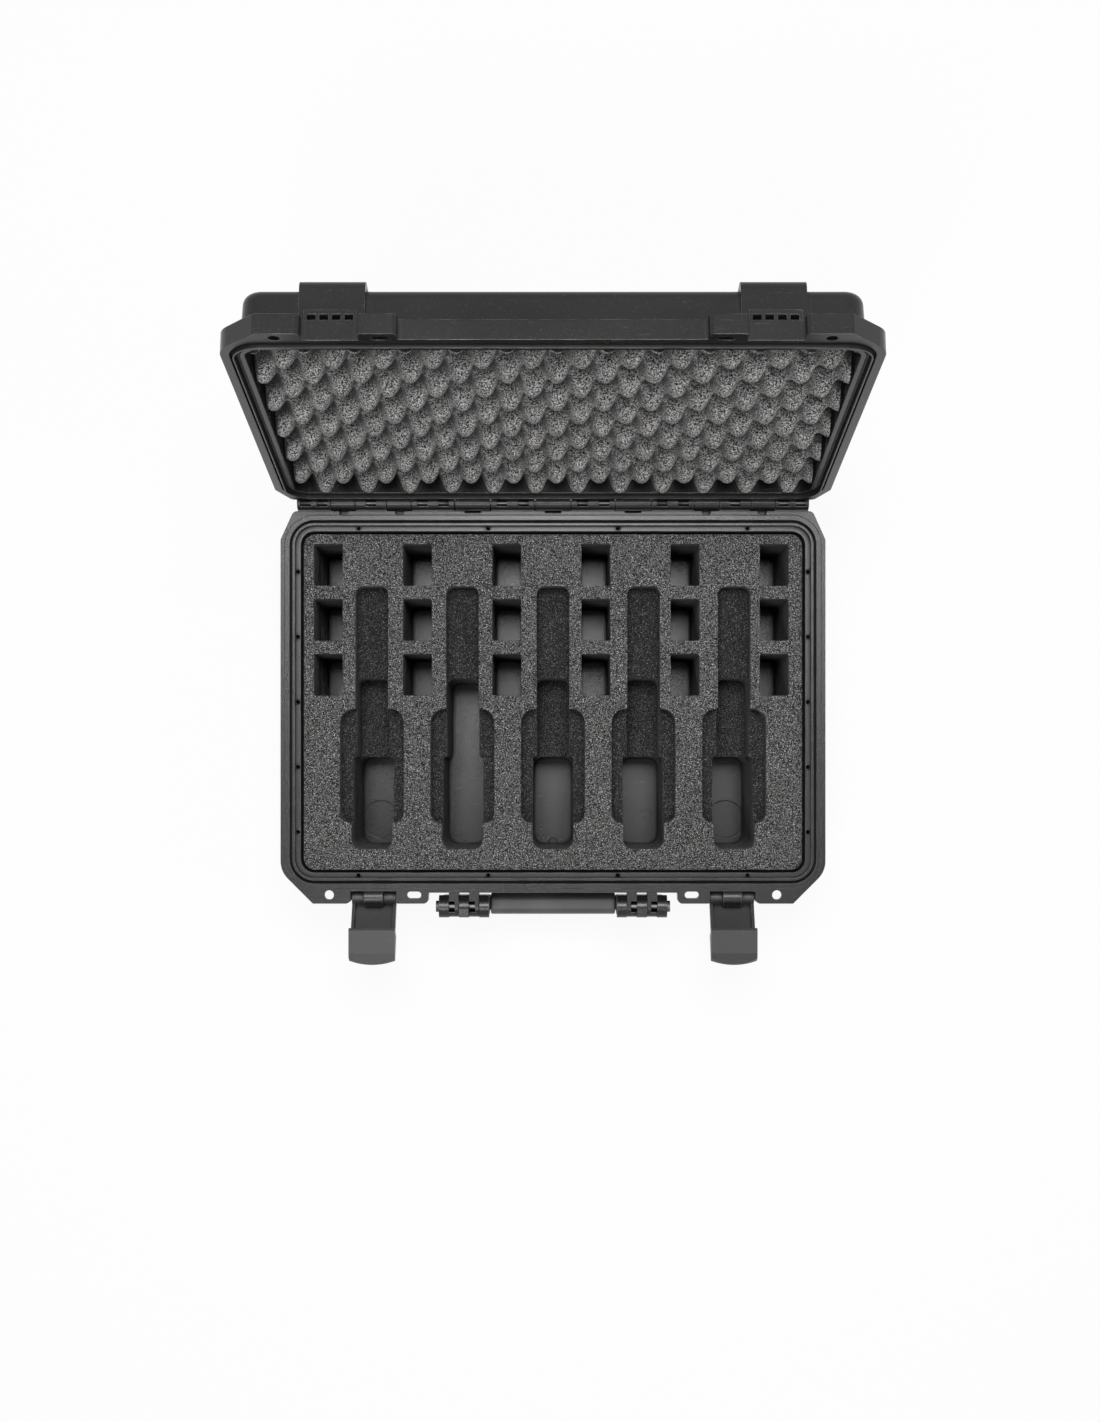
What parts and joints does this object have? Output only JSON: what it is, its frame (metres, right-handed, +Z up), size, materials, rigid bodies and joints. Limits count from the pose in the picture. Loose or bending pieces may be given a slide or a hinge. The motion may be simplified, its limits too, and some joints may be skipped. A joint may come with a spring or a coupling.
{
  "type": "hard carrying case",
  "caption": "Moulded hard case with a hinged lid, hook latches, a swinging handle, a rim seal, convoluted lid foam and laminated base foam cut into wells and long bays.",
  "frame": {"origin": "middle of the base's inside in plan, on the plane of the feet", "axes": "+X to the right seen from the front, +Y to the back where the hinge is, +Z up; stored with the lid open, the latches open and the handle hanging"},
  "size_m": [0.464, 0.5052, 0.4589],
  "materials": {
    "shell_plastic": "moulded, fine grain",
    "latch_plastic": "moulded, fine grain",
    "grip_rubber": "soft moulded",
    "seal_rubber": "matt",
    "steel": "drawn, blackened",
    "foam": "open-cell foam, matt",
    "valve_plastic": "moulded",
    "membrane_film": "matt film"
  },
  "bodies": {
    "base": {"base_shell": "shell_plastic", "hinge_rod": "steel", "latch_pin_left": "steel", "latch_pin_right": "steel", "handle_pin_left": "steel", "handle_pin_right": "steel", "foam_top": "foam", "foam_middle": "foam", "foam_bottom": "foam", "valve_body": "valve_plastic", "valve_seal": "seal_rubber", "valve_membrane": "membrane_film", "valve_cap": "valve_plastic", "valve_nut": "valve_plastic"},
    "lid": {"lid_shell": "shell_plastic", "lid_seal": "seal_rubber", "lid_foam": "foam"},
    "latch_left": {"latch_left": "latch_plastic"},
    "latch_right": {"latch_right": "latch_plastic"},
    "handle": {"handle_frame": "shell_plastic", "handle_grip": "grip_rubber"}
  },
  "joints": [
    {"name": "lid_hinge", "type": "hinge", "parent": "base", "child": "lid", "pos_m": [0, 0.1693, 0.125], "axis": [1, 0, 0], "range_deg": [0, 101.7]},
    {"name": "latch_left_pivot", "type": "hinge", "parent": "base", "child": "latch_left", "pos_m": [-0.153, -0.1668, 0.116], "axis": [-1, 0, 0], "range_deg": [0, 62]},
    {"name": "latch_right_pivot", "type": "hinge", "parent": "base", "child": "latch_right", "pos_m": [0.153, -0.1668, 0.116], "axis": [-1, 0, 0], "range_deg": [0, 62]},
    {"name": "handle_pivot", "type": "hinge", "parent": "base", "child": "handle", "pos_m": [0, -0.1747, 0.114], "axis": [-1, 0, 0], "range_deg": [-14, 95]}
  ]
}
